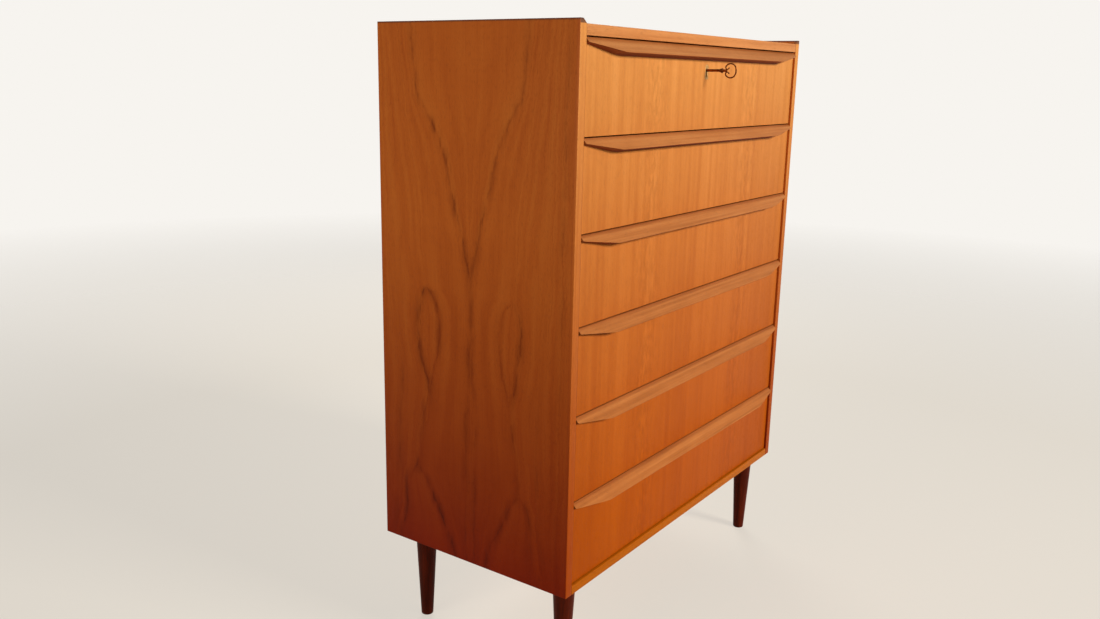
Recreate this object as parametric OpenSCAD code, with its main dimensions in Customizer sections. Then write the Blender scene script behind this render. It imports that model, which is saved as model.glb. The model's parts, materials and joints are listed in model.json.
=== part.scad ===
// Tall chest of six drawers on four turned legs. The carcass is veneered board with solid edge strips
// and sides that stand a little above the top. The drawers are dovetailed boxes that hang on side
// runners, each with a solid pull along its top edge, and the top drawer has a lock with its key.
// +Y points to the back. The origin is on the floor, under the middle of the whole outline.

/* [Carcass] */
// Width over the two sides
cab_w = 800; // [720:1:1000]
// Depth of the sides, front edge to back edge
cab_d = 395; // [370:1:480]
// Height of a side, from its lower edge to the top of its raised edge
side_h = 892; // [860:1:1000]
// Thickness of the sides
side_t = 17; // [15:0.5:22]
// Thickness of the top
top_t = 16; // [15:0.5:22]
// Thickness of the bottom
bottom_t = 15; // [14:0.5:22]
// Height by which the sides stand above the top
lip_h = 7; // [4:0.5:12]
// Width of the flat on top of the raised edge, before it falls to the top
lip_flat = 8; // [5:0.5:12]
// Depth of the solid strips glued to the front edges
lipping_t = 6; // [4:0.5:8]
// Thickness of the back panel
back_t = 4; // [3:0.5:8]
// Width of the rebate that the back panel lies in
rebate_w = 9; // [7:0.5:12]
// Diameter of the dowels between the sides and the top and bottom
dowel_d = 8; // [6:0.5:10]
// Length of a dowel
dowel_len = 30; // [24:1:40]
// Depth of a dowel in the side
dowel_in_side = 10; // [8:0.5:12]

/* [Legs] */
// Height of a leg
leg_h = 170; // [120:1:220]
// Diameter of a leg at its top
leg_top_d = 39; // [32:0.5:44]
// Diameter of a leg at the floor
leg_foot_d = 22; // [18:0.5:30]
// Rounding of the foot's edge
foot_round = 2; // [1:0.5:4]
// Centre of a leg from the outer face of the side
leg_from_side = 51; // [48:1:120]
// Centre of a front leg from the front edges
leg_from_front = 38; // [34:1:90]
// Centre of a rear leg from the back edges
leg_from_back = 50; // [35:1:90]
// Width of the square plate above a leg
leg_plate_w = 46; // [42:1:50]
// Thickness of that plate
leg_plate_t = 2.5; // [1.5:0.5:4]
// Diameter of the threaded collar on the plate
leg_collar_d = 14; // [12:0.5:18]
// Height of that collar in the bottom
leg_collar_h = 9; // [6:0.5:12]
// Diameter of the bolt in the leg
leg_bolt_d = 8; // [6:0.5:10]
// Length of that bolt in the leg
leg_bolt_in_leg = 38; // [25:1:60]

/* [Drawers] */
// Distance of the drawer fronts behind the front edges
front_recess = 3.5; // [1:0.5:8]
// Gap between a drawer front and the side
gap_x = 1.5; // [1:0.25:3]
// Gap above and below a drawer front
gap_z = 2; // [1:0.25:4]
// Thickness of a drawer front
front_t = 18; // [17:0.5:22]
// Thickness of the sides of a drawer box
box_side_t = 12; // [10:0.5:15]
// Height of the sides of a drawer box
box_side_h = 112; // [104:1:116]
// Thickness of the back of a drawer box
box_back_t = 10; // [8:0.5:15]
// Distance of the box's lower edge above the front's lower edge
box_lift = 8; // [4:0.5:9]
// Space behind a closed drawer
rear_space = 24; // [15:1:40]
// Thickness of a drawer bottom
ply_t = 4; // [3:0.5:6]
// Depth of the groove that holds the drawer bottom
ply_groove = 5; // [3:0.5:6]
// Height of that groove above the box's lower edge
ply_rise = 8; // [6:0.5:12]
// Wood left in front of the dovetails in a drawer front
lap_t = 6; // [5:0.5:8]
// Slope of the dovetails, in degrees
tail_slope = 9.5; // [6:0.5:12]
// Width of the pins between the tails at their narrow end
pin_w = 7; // [5:0.5:10]

/* [Pulls] */
// Height of the pull's bar, which lies on the drawer front
bar_h = 8; // [7:0.25:8.5]
// Height of the pull on the drawer's face
pull_h = 23.5; // [21:0.5:30]
// Angle of the pull's sloping face below level
pull_slope = 44.6; // [38:0.2:50]
// Angle by which the pull's underside rises towards its nose
pull_rise = 14; // [9:0.5:17]
// Radius of the pull's nose
nose_r = 1.3; // [0.8:0.1:2]
// Radius of the finger groove in the underside
cove_r = 13.5; // [12:0.5:20]
// Length of the taper at each end
taper_len = 88; // [60:1:160]
// Height of the pull at the very end, on the drawer's face
end_h = 8.8; // [8.6:0.1:12]
// Radius that eases the taper into the straight
taper_r = 150; // [60:10:400]

/* [Runners] */
// Height of a runner
runner_h = 15; // [12:0.5:20]
// Depth of the groove in the drawer side
runner_groove = 6; // [4:0.5:7]
// Height of the groove above the box's lower edge
runner_rise = 46; // [30:1:60]
// Play between a runner and its groove, above and beside it
runner_play = 0.3; // [0.2:0.05:0.5]
// Play under the runner
runner_under = 0.7; // [0.4:0.1:1.5]
// Space between a runner's rear end and the back panel
runner_rear = 8; // [4:1:30]

/* [Lock and key] */
// Height of the key's axis below the drawer's top edge
key_drop = 40; // [36:0.5:46]
// Width of the lock's plate
lock_w = 60; // [52:1:80]
// Height of the lock's plate
lock_h = 56; // [54:1:64]
// Thickness of the lock's plates
lock_plate_t = 2; // [1.5:0.25:2.5]
// Width of the lock's case
case_w = 44; // [38:1:48]
// Depth of the lock from its back to the front of its case
case_d = 11.5; // [11:0.25:12.5]
// Wall of the lock's case
case_wall = 1.2; // [0.8:0.1:1.5]
// Width of the bolt's head
bolt_w = 20; // [14:0.5:24]
// Thickness of the bolt's head
bolt_t = 6; // [4:0.25:6.5]
// Travel of the bolt
bolt_throw = 8; // [6:0.5:9]
// Diameter of the key's shank
shank_d = 4.6; // [4:0.1:5]
// Length of the key outside the drawer's face
key_out = 56; // [48:0.5:64]
// Height of the key's oval bow
bow_h = 26; // [22:0.5:32]
// Length of the bow along the key
bow_len = 23; // [18:0.5:26]
// Diameter of the bow's wire
bow_wire = 2.4; // [1.8:0.1:3]
// Reach of the key's bit from its axis
bit_r = 9; // [7:0.25:9.5]
// Height of the brass liner of the keyhole
liner_h = 25.5; // [24:0.5:28]
// Diameter of the liner's round head
liner_d = 13; // [11:0.25:14]
// Width of the liner's skirt at its lower end
liner_skirt = 12.5; // [9:0.5:13]
// Width of the liner's waist, as a share of its skirt
liner_waist = 0.82; // [0.75:0.01:0.95]
// Height of the middle of the liner's head above the key's axis
liner_up = 3.7; // [3:0.1:4.5]
// Diameter of the round part of the keyhole
keyhole_d = 6.4; // [6:0.1:7]
// Width of the keyhole's slot
keyhole_slot = 3.4; // [3:0.1:4]

/* [Hidden] */
drawer_count = 6;
DRAWER_PIECES = ["front", "pull", "left_side", "right_side", "back", "bottom"];

$fn = 48;
fit = 0.1;           // gap between glued or screwed pieces that share a pocket
eps = 1;             // extra length of a cutting shape past the face that it cuts
teak = [0.72, 0.38, 0.17];
teak_side = [0.60, 0.28, 0.12];
teak_solid = [0.76, 0.44, 0.24];
box_wood = [0.86, 0.72, 0.52];
plywood = [0.78, 0.62, 0.42];
dark_wood = [0.26, 0.11, 0.07];
steel = [0.62, 0.62, 0.60];
brass = [0.72, 0.58, 0.28];
bronze = [0.28, 0.18, 0.11];

// Levels, from the floor
inner_w = cab_w - 2 * side_t;
top_z = leg_h + side_h - lip_h;                 // upper face of the top
ceiling_z = top_z - top_t;                      // its lower face
deck_z = leg_h + bottom_t;                      // upper face of the bottom
front_h = (ceiling_z - deck_z - (drawer_count + 1) * gap_z) / drawer_count;
function drawer_z(i) = deck_z + gap_z + (drawer_count - i) * (front_h + gap_z);

// Depths, from the front edges of the carcass
front_w = inner_w - 2 * gap_x;
front_back = front_recess + front_t;            // rear face of the drawer fronts
box_end = cab_d - back_t - rear_space;          // rear face of the drawer boxes
tail_len = front_t - lap_t;
groove_z = ply_rise + ply_t + 2 * fit;          // top of the bottom's groove, above the box's lower edge
back_drop = 4;                                  // the box's back is lower than its sides
back_top = box_side_h - back_drop;
shift_y = (key_out - front_recess - cab_d) / 2; // carcass front in the frame of the whole outline

// ---- shared shapes -------------------------------------------------------------------------

// Places a piece that is drawn from the carcass front and the floor
module placed() translate([0, shift_y, 0]) children();

// Both sides alike, left as drawn and right mirrored
module both_sides() { children(); mirror([1, 0, 0]) children(); }

// A profile in X and Z, pulled along Y from y0 to y1
module along_y(y0, y1) translate([0, y1, 0]) rotate([90, 0, 0]) linear_extrude(y1 - y0) children();

// A profile in Y and Z, pulled along X from x0 to x1
module along_x(x0, x1) translate([x0, 0, 0]) rotate([90, 0, 90]) linear_extrude(x1 - x0) children();

// A box by its two corners
module block(low, high) translate(low) cube(high - low);

// A countersunk screw along -Z with its head's face at z = 0; grow widens it into its own hole
module screw(d, len, grow = 0) {
    head_r = d * 0.95;
    rotate_extrude() polygon([
        [0, grow > 0 ? eps : 0], [head_r + grow, grow > 0 ? eps : 0], [head_r + grow, 0],
        [d / 2 + grow, -d / 2], [d / 2 + grow, -len * 0.75], [0, -len - grow]]);
}

// The same screw with the slot in its head
module slotted_screw(d, len) difference() {
    screw(d, len);
    block([-d, -d * 0.11, -d * 0.2], [d, d * 0.11, eps]);
}

// Screws, or the holes for them, at the given places; turn points their heads
module screws(places, turn, d, len, hole = false)
    for (p = places) translate(p) rotate(turn)
        if (hole) screw(d, len, fit / 2); else slotted_screw(d, len);

// ---- carcass -------------------------------------------------------------------------------

dowel_rows = 4;
dowel_edge = 40;     // first and last dowel from the board's edges
back_screw_d = 3;
back_screw_len = 16;
back_screw_side = 60;    // outer screws of the upper and lower rows, from the sides
back_screw_end = 40;     // outer screws of the two upright rows, from the top and bottom
runner_screw_d = 3.5;
runner_screw_len = 17;
runner_screw_end = 30;   // screws from a runner's ends

function spread(from, to, n) = [for (k = [0:n - 1]) from + (to - from) * k / (n - 1)];

dowel_y = spread(dowel_edge, cab_d - dowel_edge, dowel_rows);
dowel_z = [leg_h + bottom_t / 2, top_z - top_t / 2];

// Middle of the rebates that take the back panel's screws
rebate_x = inner_w / 2 + rebate_w / 2;
back_screw_places = concat(
    [for (x = spread(back_screw_side - inner_w / 2, inner_w / 2 - back_screw_side, 4),
          z = [deck_z - rebate_w / 2, ceiling_z + rebate_w / 2]) [x, cab_d, z]],
    [for (x = [-rebate_x, rebate_x],
          z = spread(deck_z + back_screw_end, ceiling_z - back_screw_end, 5)) [x, cab_d, z]]);

runner_t = gap_x + runner_groove - runner_play;
runner_y = [front_back + runner_play, cab_d - back_t - runner_rear];
function runner_z(i) = drawer_z(i) + box_lift + runner_rise + runner_under;
// Screw places on the left runners
runner_screw_places = [for (i = [1:drawer_count],
                            y = [runner_y[0] + runner_screw_end, runner_y[1] - runner_screw_end])
    [-inner_w / 2 + runner_t, y, runner_z(i) + runner_h / 2]];
head_right = [0, 90, 0];
head_left = [0, -90, 0];
head_back = [-90, 0, 0];
head_front = [90, 0, 0];
head_down = [180, 0, 0];

module dowels(grow = 0)
    both_sides() for (y = dowel_y, z = dowel_z)
        translate([-inner_w / 2 - dowel_in_side - grow, y, z]) rotate([0, 90, 0])
            cylinder(d = dowel_d + grow, h = dowel_len + 2 * grow);

module back_rebate() {
    r = [inner_w / 2 + rebate_w, rebate_w];
    block([-r[0], cab_d - back_t, deck_z - r[1]], [r[0], cab_d + eps, ceiling_z + r[1]]);
}

// Section of the left side, with the raised edge that falls inwards to the top
module side_section() translate([-cab_w / 2, leg_h])
    polygon([[0, 0], [side_t, 0], [side_t, side_h - lip_h], [lip_flat, side_h], [0, side_h]]);

module left_side() color(teak_side) placed() difference() {
    along_y(lipping_t, cab_d) side_section();
    back_rebate();
    dowels(fit);
    screws(runner_screw_places, head_right, runner_screw_d, runner_screw_len, hole = true);
    screws(back_screw_places, head_back, back_screw_d, back_screw_len, hole = true);
}

module right_side() mirror([1, 0, 0]) left_side();

module top_panel() color(teak) placed() difference() {
    block([-inner_w / 2, lipping_t, ceiling_z], [inner_w / 2, cab_d, top_z]);
    back_rebate();
    dowels(fit);
    screws(back_screw_places, head_back, back_screw_d, back_screw_len, hole = true);
    strike_pocket();
}

module bottom_panel() color(teak) placed() difference() {
    block([-inner_w / 2, lipping_t, leg_h], [inner_w / 2, cab_d, deck_z]);
    back_rebate();
    dowels(fit);
    screws(back_screw_places, head_back, back_screw_d, back_screw_len, hole = true);
    at_legs() {
        block([-leg_plate_w / 2 - fit, -leg_plate_w / 2 - fit, -eps],
              [leg_plate_w / 2 + fit, leg_plate_w / 2 + fit, leg_plate_t]);
        cylinder(d = leg_collar_d + 2 * fit, h = leg_plate_t + leg_collar_h + fit);
        screws(leg_screw_places, head_down, leg_screw_d, leg_screw_len, hole = true);
    }
}

// The back panel is let into the rebates and screwed
module back_panel() color(plywood) placed() difference() {
    r = rebate_w - fit;
    block([-inner_w / 2 - r, cab_d - back_t, deck_z - r], [inner_w / 2 + r, cab_d, ceiling_z + r]);
    screws(back_screw_places, head_back, back_screw_d, back_screw_len, hole = true);
}

module back_panel_screws() color(steel) placed()
    screws(back_screw_places, head_back, back_screw_d, back_screw_len);

// Solid strips on the front edges: two uprights, and two rails cut to length between them
module front_lippings() color(teak_solid) placed() {
    both_sides() along_y(0, lipping_t) side_section();
    for (z = [[leg_h, deck_z], [ceiling_z, top_z]])
        block([fit - inner_w / 2, 0, z[0]], [inner_w / 2 - fit, lipping_t, z[1]]);
}

module carcass_dowels() color(box_wood) placed() dowels();

module drawer_runners() color(box_wood) placed() both_sides() difference() {
    for (i = [1:drawer_count])
        block([-inner_w / 2, runner_y[0], runner_z(i)],
              [-inner_w / 2 + runner_t, runner_y[1], runner_z(i) + runner_h]);
    screws(runner_screw_places, head_right, runner_screw_d, runner_screw_len, hole = true);
}

module runner_screws() color(steel) placed()
    both_sides() screws(runner_screw_places, head_right, runner_screw_d, runner_screw_len);

// ---- legs ----------------------------------------------------------------------------------

leg_screw_d = 3.5;
leg_screw_len = 13;
leg_screw_at = leg_plate_w / 2 - 6;
leg_screw_places = [for (x = [-1, 1], y = [-1, 1]) [x * leg_screw_at, y * leg_screw_at, 0]];
leg_x = cab_w / 2 - leg_from_side;

// Places children at one leg, on the lower face of the carcass: sx is -1 on the left, 1 on the right
module at_leg(sx, y) translate([sx * leg_x, y, leg_h]) children();

module at_legs()
    for (sx = [-1, 1], y = [leg_from_front, cab_d - leg_from_back]) at_leg(sx, y) children();

leg_bolt_len = leg_bolt_in_leg + leg_plate_t + leg_collar_h - fit;

module leg_bolt(grow = 0) translate([0, 0, -leg_bolt_in_leg - grow])
    cylinder(d = leg_bolt_d + 2 * grow, h = leg_bolt_len + 2 * grow);

// A turned leg: a straight taper with a rounded foot
module turned_leg() color(dark_wood) difference() {
    rotate_extrude($fn = 96) polygon(concat(
        [[0, -leg_h]],
        [for (a = [0:15:90]) [leg_foot_d / 2 - foot_round + foot_round * sin(a),
                              -leg_h + foot_round - foot_round * cos(a)]],
        [[leg_top_d / 2, 0], [0, 0]]));
    leg_bolt(fit / 2);
}

module leg(sx, y) placed() at_leg(sx, y) turned_leg();
module leg_front_left() leg(-1, leg_from_front);
module leg_front_right() leg(1, leg_from_front);
module leg_rear_left() leg(-1, cab_d - leg_from_back);
module leg_rear_right() leg(1, cab_d - leg_from_back);

// Square plates let into the bottom, each with a threaded collar for the leg's bolt
module leg_plates() color(steel) placed() at_legs() difference() {
    union() {
        block([-leg_plate_w / 2, -leg_plate_w / 2, 0], [leg_plate_w / 2, leg_plate_w / 2, leg_plate_t]);
        cylinder(d = leg_collar_d, h = leg_plate_t + leg_collar_h);
    }
    leg_bolt(fit / 2);
    screws(leg_screw_places, head_down, leg_screw_d, leg_screw_len, hole = true);
}

module leg_plate_screws() color(steel) placed()
    at_legs() screws(leg_screw_places, head_down, leg_screw_d, leg_screw_len);

module leg_bolts() color(steel) placed() at_legs() leg_bolt();

// ---- drawer boxes --------------------------------------------------------------------------

// A row of dovetails in Y and Z: they grow from y = 0 towards -Y and fill the height from z0 to z1
module tails(len, z0, z1, grow = 0) {
    rows = max(2, round((z1 - z0) / 28));
    pitch = (z1 - z0) / rows;
    flare = len * tan(tail_slope);
    wide = (pitch - pin_w) / 2 + grow;
    for (k = [0:rows - 1])
        translate([0, z0 + (k + 0.5) * pitch])
            polygon([[0, wide - flare], [-len - grow, wide], [-len - grow, -wide], [0, -wide + flare]]);
}

// The dovetails of a box, front and rear, pulled through the side's thickness
module box_tails(grow = 0) {
    x = [-front_w / 2 - grow * 10, -front_w / 2 + box_side_t + grow];
    along_x(x[0], x[1]) {
        translate([front_back, 0]) tails(tail_len, 0, box_side_h, grow);
        translate([box_end - box_back_t, 0]) mirror([1, 0]) tails(box_back_t, groove_z, back_top, grow);
    }
}

// The groove that rides on the runner, open at the rear and stopped behind the drawer front
module runner_slot()
    block([-front_w / 2 - eps, front_back, runner_rise],
          [-front_w / 2 + runner_groove, box_end + eps,
           runner_rise + runner_under + runner_h + runner_play]);

// The groove round the inside for the drawer bottom
module ply_slot() {
    x = inner_w / 2 - gap_x - box_side_t + ply_groove;
    block([-x, front_back - ply_groove, ply_rise], [x, box_end + eps, groove_z]);
}

module at_box(i) placed() translate([0, 0, drawer_z(i) + box_lift]) children();

module box_side(i) color(box_wood) at_box(i) difference() {
    union() {
        block([-front_w / 2, front_back, 0],
              [-front_w / 2 + box_side_t, box_end - box_back_t, box_side_h]);
        box_tails();
    }
    ply_slot();
    runner_slot();
}

module drawer_left_side(i) box_side(i);
module drawer_right_side(i) mirror([1, 0, 0]) box_side(i);

// The back of the box stands on the drawer bottom, between and through the sides' dovetails
module drawer_back(i) color(box_wood) at_box(i) difference() {
    block([-front_w / 2, box_end - box_back_t, groove_z], [front_w / 2, box_end, back_top]);
    both_sides() { box_tails(fit); runner_slot(); }
}

module drawer_bottom(i) color(plywood) at_box(i) {
    x = front_w / 2 - box_side_t + ply_groove - fit;
    block([-x, front_back - ply_groove + fit, ply_rise + fit], [x, box_end, ply_rise + fit + ply_t]);
}

module at_front(i) placed() translate([0, 0, drawer_z(i)]) children();

module drawer_front(i) color(teak) difference() {
    at_front(i) block([-front_w / 2, front_recess, 0], [front_w / 2, front_back, front_h - bar_h]);
    at_box(i) { both_sides() box_tails(fit); ply_slot(); }
    if (i == 1) at_lock() lock_pocket();
}

// ---- pulls ---------------------------------------------------------------------------------

// Section in Y and Z, from the front's top outer corner: the bar lies on the front, the lip hangs
// before it, its face sloping down to a round nose and its underside hollowed for the fingers
pull_reach = pull_h / (tan(pull_slope) + tan(pull_rise));
pull_tip = [-pull_reach, -pull_reach * tan(pull_slope)];    // where the two faces would meet
nose_half = (pull_slope + pull_rise) / 2;
nose_mid = (pull_slope - pull_rise) / 2;        // way from the tip to the nose's centre, above level
nose_c = pull_tip + nose_r / sin(nose_half) * [cos(nose_mid), sin(nose_mid)];
nose_arc = [for (a = [90 + pull_slope : 12 : 270 - pull_rise]) nose_c + nose_r * [cos(a), sin(a)]];
cove_from = [0, -pull_h];
cove_to = nose_c + nose_r * [cos(270 - pull_rise), sin(270 - pull_rise)] + [2, -2 * tan(pull_rise)];

// Centre of the circle of radius r through a and b, on the right of the way from a to b
function arc_centre(a, b, r) =
    let (mid = (a + b) / 2, half = norm(b - a) / 2, dir = (b - a) / norm(b - a))
        mid + sqrt(r * r - half * half) * [-dir[1], dir[0]];

module pull_section() difference() {
    polygon(concat([[front_t, -bar_h], [front_t, 0], [0, 0]], nose_arc, [cove_from, [0, -bar_h]]));
    translate(arc_centre(cove_from, cove_to, cove_r)) circle(cove_r, $fn = 96);
}

// Outline of the pull seen from the front, measured down from its top edge: straight in the middle,
// eased by an arc into the two tapers
ease = atan((pull_h - end_h) / taper_len);
ease_len = taper_r * tan(ease / 2);
function half_outline() = let (x0 = front_w / 2 - taper_len)
    concat([for (k = [0:4]) let (a = ease * k / 4)
                [x0 - ease_len + taper_r * sin(a), -pull_h + taper_r * (1 - cos(a))]],
           [[front_w / 2 + eps, -end_h + eps * tan(ease)]]);

// The outline as it lies square to the direction in which it is pushed through the section
module pull_face() {
    half = half_outline();
    upper = 4 * bar_h;
    outline = concat([[-front_w / 2 - eps, upper]],
        [for (k = [len(half) - 1:-1:0]) [-half[k][0], half[k][1]]], half, [[front_w / 2 + eps, upper]]);
    polygon([for (p = outline) [p[0], p[1] * cos(pull_rise)]]);
}

// The section runs the whole width, and the outline, pushed through it along the underside's rise,
// scoops the two ends away
module drawer_pull(i) color(teak_solid) difference() {
    at_front(i) translate([0, front_recess, front_h]) intersection() {
        along_x(-front_w / 2, front_w / 2) pull_section();
        rotate([-pull_rise, 0, 0]) along_y(-2 * pull_h, 2 * front_t) pull_face();
    }
    if (i == 1) at_lock() lock_pocket();
}

// ---- lock ----------------------------------------------------------------------------------

// The lock is drawn from the key's axis at the rear face of the drawer front, +Z up
lock_top = key_drop;                            // the drawer's top edge
lock_foot = key_drop - lock_h;
module at_lock() placed() translate([0, front_back, drawer_z(1) + front_h - key_drop]) children();

lock_screw_d = 2.5;
lock_screw_len = 9;
lock_screw_x = lock_w / 2 - 4;
lock_screw_places = [
    for (x = [-lock_screw_x, lock_screw_x], z = [lock_foot + 5, lock_top - 16]) [x, 0, z]];
case_foot = lock_foot + 2;                      // lower edge of the case
bolt_y = -lock_plate_t - fit;                   // rear face of the bolt
tail_t = 2.5;                                   // thickness of the bolt's tail
tail_w = case_w - 2 * case_wall - 2 * fit;
bolt_head_h = 14;
spindle_d = 1.8;                                // pin in the case that centres the hollow key
bit_y = [bolt_y - tail_t, bolt_y - fit];        // the bit turns beside the bolt's tail
bit_t = 2;

// Room for the whole lock in the front and in the pull, and the keyhole before it
module lock_pocket() {
    block([-lock_w / 2 - fit, -lock_plate_t, lock_foot - fit], [lock_w / 2 + fit, eps, lock_top + eps]);
    block([-case_w / 2 - fit, -case_d - fit, case_foot - fit], [case_w / 2 + fit, eps, lock_top]);
    block([-lock_w / 2 - fit, -case_d - fit, lock_top - lock_plate_t - fit],
          [lock_w / 2 + fit, eps, lock_top + eps]);
    along_y(-front_t - eps, -case_d) liner_shape(fit / 2);
    screws(lock_screw_places, head_back, lock_screw_d, lock_screw_len, hole = true);
}

// A back plate, a top plate that the bolt passes, and a case that is open towards the plate
module lock_case() color(brass) at_lock() difference() {
    union() {
        block([-lock_w / 2, -lock_plate_t, lock_foot], [lock_w / 2, 0, lock_top]);
        block([-lock_w / 2, -case_d, lock_top - lock_plate_t], [lock_w / 2, 0, lock_top]);
        difference() {
            block([-case_w / 2, -case_d, case_foot], [case_w / 2, 0, lock_top]);
            block([-case_w / 2 + case_wall, -case_d + case_wall, case_foot + case_wall],
                  [case_w / 2 - case_wall, -lock_plate_t, lock_top - lock_plate_t]);
        }
        along_y(-case_d + 1, 0) circle(d = spindle_d);
    }
    block([-bolt_w / 2 - fit, bolt_y - bolt_t - fit, lock_top - lock_plate_t - eps],
          [bolt_w / 2 + fit, bolt_y + fit / 2, lock_top + eps]);
    key_way(-case_d - eps, -case_d + case_wall + fit);
    screws(lock_screw_places, head_back, lock_screw_d, lock_screw_len, hole = true);
}

// The hole that the key goes through, with the slot for its bit
module key_way(y0, y1) along_y(y0, y1) {
    circle(d = shank_d + 2 * fit);
    translate([-bit_t / 2 - fit, -bit_r - fit]) square([bit_t + 2 * fit, bit_r]);
}

module lock_screws() color(brass) at_lock()
    screws(lock_screw_places, head_back, lock_screw_d, lock_screw_len);

// The bolt: a thick head, and a thin forked tail that straddles the key
module lock_bolt() color(brass) at_lock() {
    head_z = lock_top - bolt_head_h;
    fork_in = bit_r + fit * 4;
    block([-bolt_w / 2, bolt_y - bolt_t, head_z], [bolt_w / 2, bolt_y, lock_top - 2 * fit]);
    difference() {
        block([-tail_w / 2, bolt_y - tail_t, -bit_r / 2],
              [tail_w / 2, bolt_y, lock_top - lock_plate_t - bolt_throw - 2 * fit]);
        block([-fork_in, bolt_y - tail_t - eps, -bit_r - eps], [fork_in, eps, bit_r + 1]);
    }
}

// Outline of the liner: a round head on a spreading skirt with its lower corners cut off
module liner_shape(grow = 0) {
    foot = liner_up + liner_d / 2 - liner_h - grow;
    skirt = liner_skirt / 2 + grow;
    waist = liner_waist * liner_skirt / 2 + grow;
    corner = liner_skirt / 8;
    translate([0, liner_up]) circle(d = liner_d + 2 * grow);
    polygon([[-waist, liner_up], [-skirt, foot + corner], [-skirt + corner, foot],
             [skirt - corner, foot], [skirt, foot + corner], [waist, liner_up]]);
}

module keyhole_liner() color(brass) at_lock() difference() {
    along_y(-front_t, -case_d - fit) liner_shape();
    along_y(-front_t - eps, 0) {
        circle(d = keyhole_d);
        translate([-keyhole_slot / 2, -bit_r - 2]) square([keyhole_slot, bit_r + 2]);
    }
}

// ---- key -----------------------------------------------------------------------------------

bow_r = (bow_len - bow_wire) / 2;               // middle of the wire in the two round ends
bow_rise = (bow_h - bow_len) / 2;               // their centres above and below the key's axis
bow_y = -front_t - key_out + bow_len / 2;       // middle of the bow
bow_end = 145;                                  // angle at which the wire leaves a round end
scroll_r = 3.2;                                 // the wire then curls inwards round this circle
scroll_turn = 190;
scroll_at = bow_r - scroll_r;                   // the scroll's centre from that of the round end
joint_d = bow_wire + 0.3;                       // brazed joint between a round end and its scroll
neck_end = bow_y - scroll_at * cos(bow_end);    // the shank ends between the two scrolls
collar_y = bow_y + bow_r + 6;
collar_r = shank_d / 2 + 1.9;

// A bent wire in Y and Z, with angles from the key's free end upwards
module bent_wire(r, from, turn) rotate([90, 0, -90]) rotate([0, 0, from])
    rotate_extrude(angle = turn) translate([r, 0]) circle(d = bow_wire, $fn = 24);

// Upper half of the bow: a half straight, a round end, and the scroll that it runs into
module half_bow() translate([0, bow_y, 0]) {
    translate([0, -bow_r, 0]) cylinder(d = bow_wire, h = bow_rise, $fn = 24);
    translate([0, 0, bow_rise]) {
        bent_wire(bow_r, 0, bow_end);
        translate([0, -scroll_at * cos(bow_end), scroll_at * sin(bow_end)])
            bent_wire(scroll_r, bow_end, scroll_turn);
        translate([0, -bow_r * cos(bow_end), bow_r * sin(bow_end)]) sphere(d = joint_d, $fn = 32);
    }
}

// Profile of the turned collar, as radius and place along the key, towards the drawer
collar_profile = [
    [0, -4], [shank_d / 2, -4], [collar_r - 0.4, -2.6], [collar_r, -1.6], [collar_r, -0.4],
    [collar_r - 1, 0.4], [collar_r - 1, 2], [shank_d / 2, 2.8], [0, 2.8]];

// A hollow shank with a turned collar, the bow with two scrolls at its foot, and the bit
module key() color(bronze) at_lock() {
    shank_from = -lock_plate_t - 2 * fit;
    difference() {
        union() {
            translate([0, shank_from, 0]) rotate([90, 0, 0])
                cylinder(d = shank_d, h = shank_from - neck_end);
            translate([0, collar_y, 0]) rotate([-90, 0, 0])
                rotate_extrude() polygon(collar_profile);
            block([-bit_t / 2, bit_y[0], -bit_r], [bit_t / 2, bit_y[1], 0]);
        }
        translate([0, eps, 0]) rotate([90, 0, 0]) cylinder(d = spindle_d + fit, h = case_d + 6);
    }
    for (s = [0, 1]) mirror([0, 0, s]) half_bow();
}

// ---- strike --------------------------------------------------------------------------------

strike_w = 44;
strike_d = 12;
strike_t = 1.5;
strike_y = front_back + bolt_y - bolt_t / 2;    // middle of the bolt
strike_screw_d = 2.5;
strike_screw_len = 10;
strike_screw_places = [for (s = [-1, 1]) [s * (strike_w / 2 - 5), strike_y, ceiling_z]];

bolt_play = 0.5;                                // room round the bolt in the strike

module bolt_hole(z0, z1) {
    half = [bolt_w / 2 + bolt_play, bolt_t / 2 + bolt_play];
    block([-half[0], strike_y - half[1], z0], [half[0], strike_y + half[1], z1]);
}

// Pocket in the top for the strike plate, and the mortise that takes the bolt
module strike_pocket() {
    block([-strike_w / 2 - fit, strike_y - strike_d / 2 - fit, ceiling_z - eps],
          [strike_w / 2 + fit, strike_y + strike_d / 2 + fit, ceiling_z + strike_t]);
    bolt_hole(ceiling_z, ceiling_z + bolt_throw + 1);
    screws(strike_screw_places, head_down, strike_screw_d, strike_screw_len, hole = true);
}

module strike_plate() color(brass) placed() difference() {
    block([-strike_w / 2, strike_y - strike_d / 2, ceiling_z],
          [strike_w / 2, strike_y + strike_d / 2, ceiling_z + strike_t]);
    bolt_hole(ceiling_z - eps, ceiling_z + strike_t + eps);
    screws(strike_screw_places, head_down, strike_screw_d, strike_screw_len, hole = true);
}

module strike_plate_screws() color(brass) placed()
    screws(strike_screw_places, head_down, strike_screw_d, strike_screw_len);

// ---- nodes ---------------------------------------------------------------------------------

left_side();
right_side();
top_panel();
bottom_panel();
back_panel();
front_lippings();
carcass_dowels();
back_panel_screws();
drawer_runners();
runner_screws();
leg_front_left();
leg_front_right();
leg_rear_left();
leg_rear_right();
leg_plates();
leg_plate_screws();
leg_bolts();
strike_plate();
strike_plate_screws();
lock_case();
lock_screws();
lock_bolt();
key();
keyhole_liner();
for (i = [1:drawer_count]) {
    drawer_front(i);
    drawer_pull(i);
    drawer_left_side(i);
    drawer_right_side(i);
    drawer_back(i);
    drawer_bottom(i);
}
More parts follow.
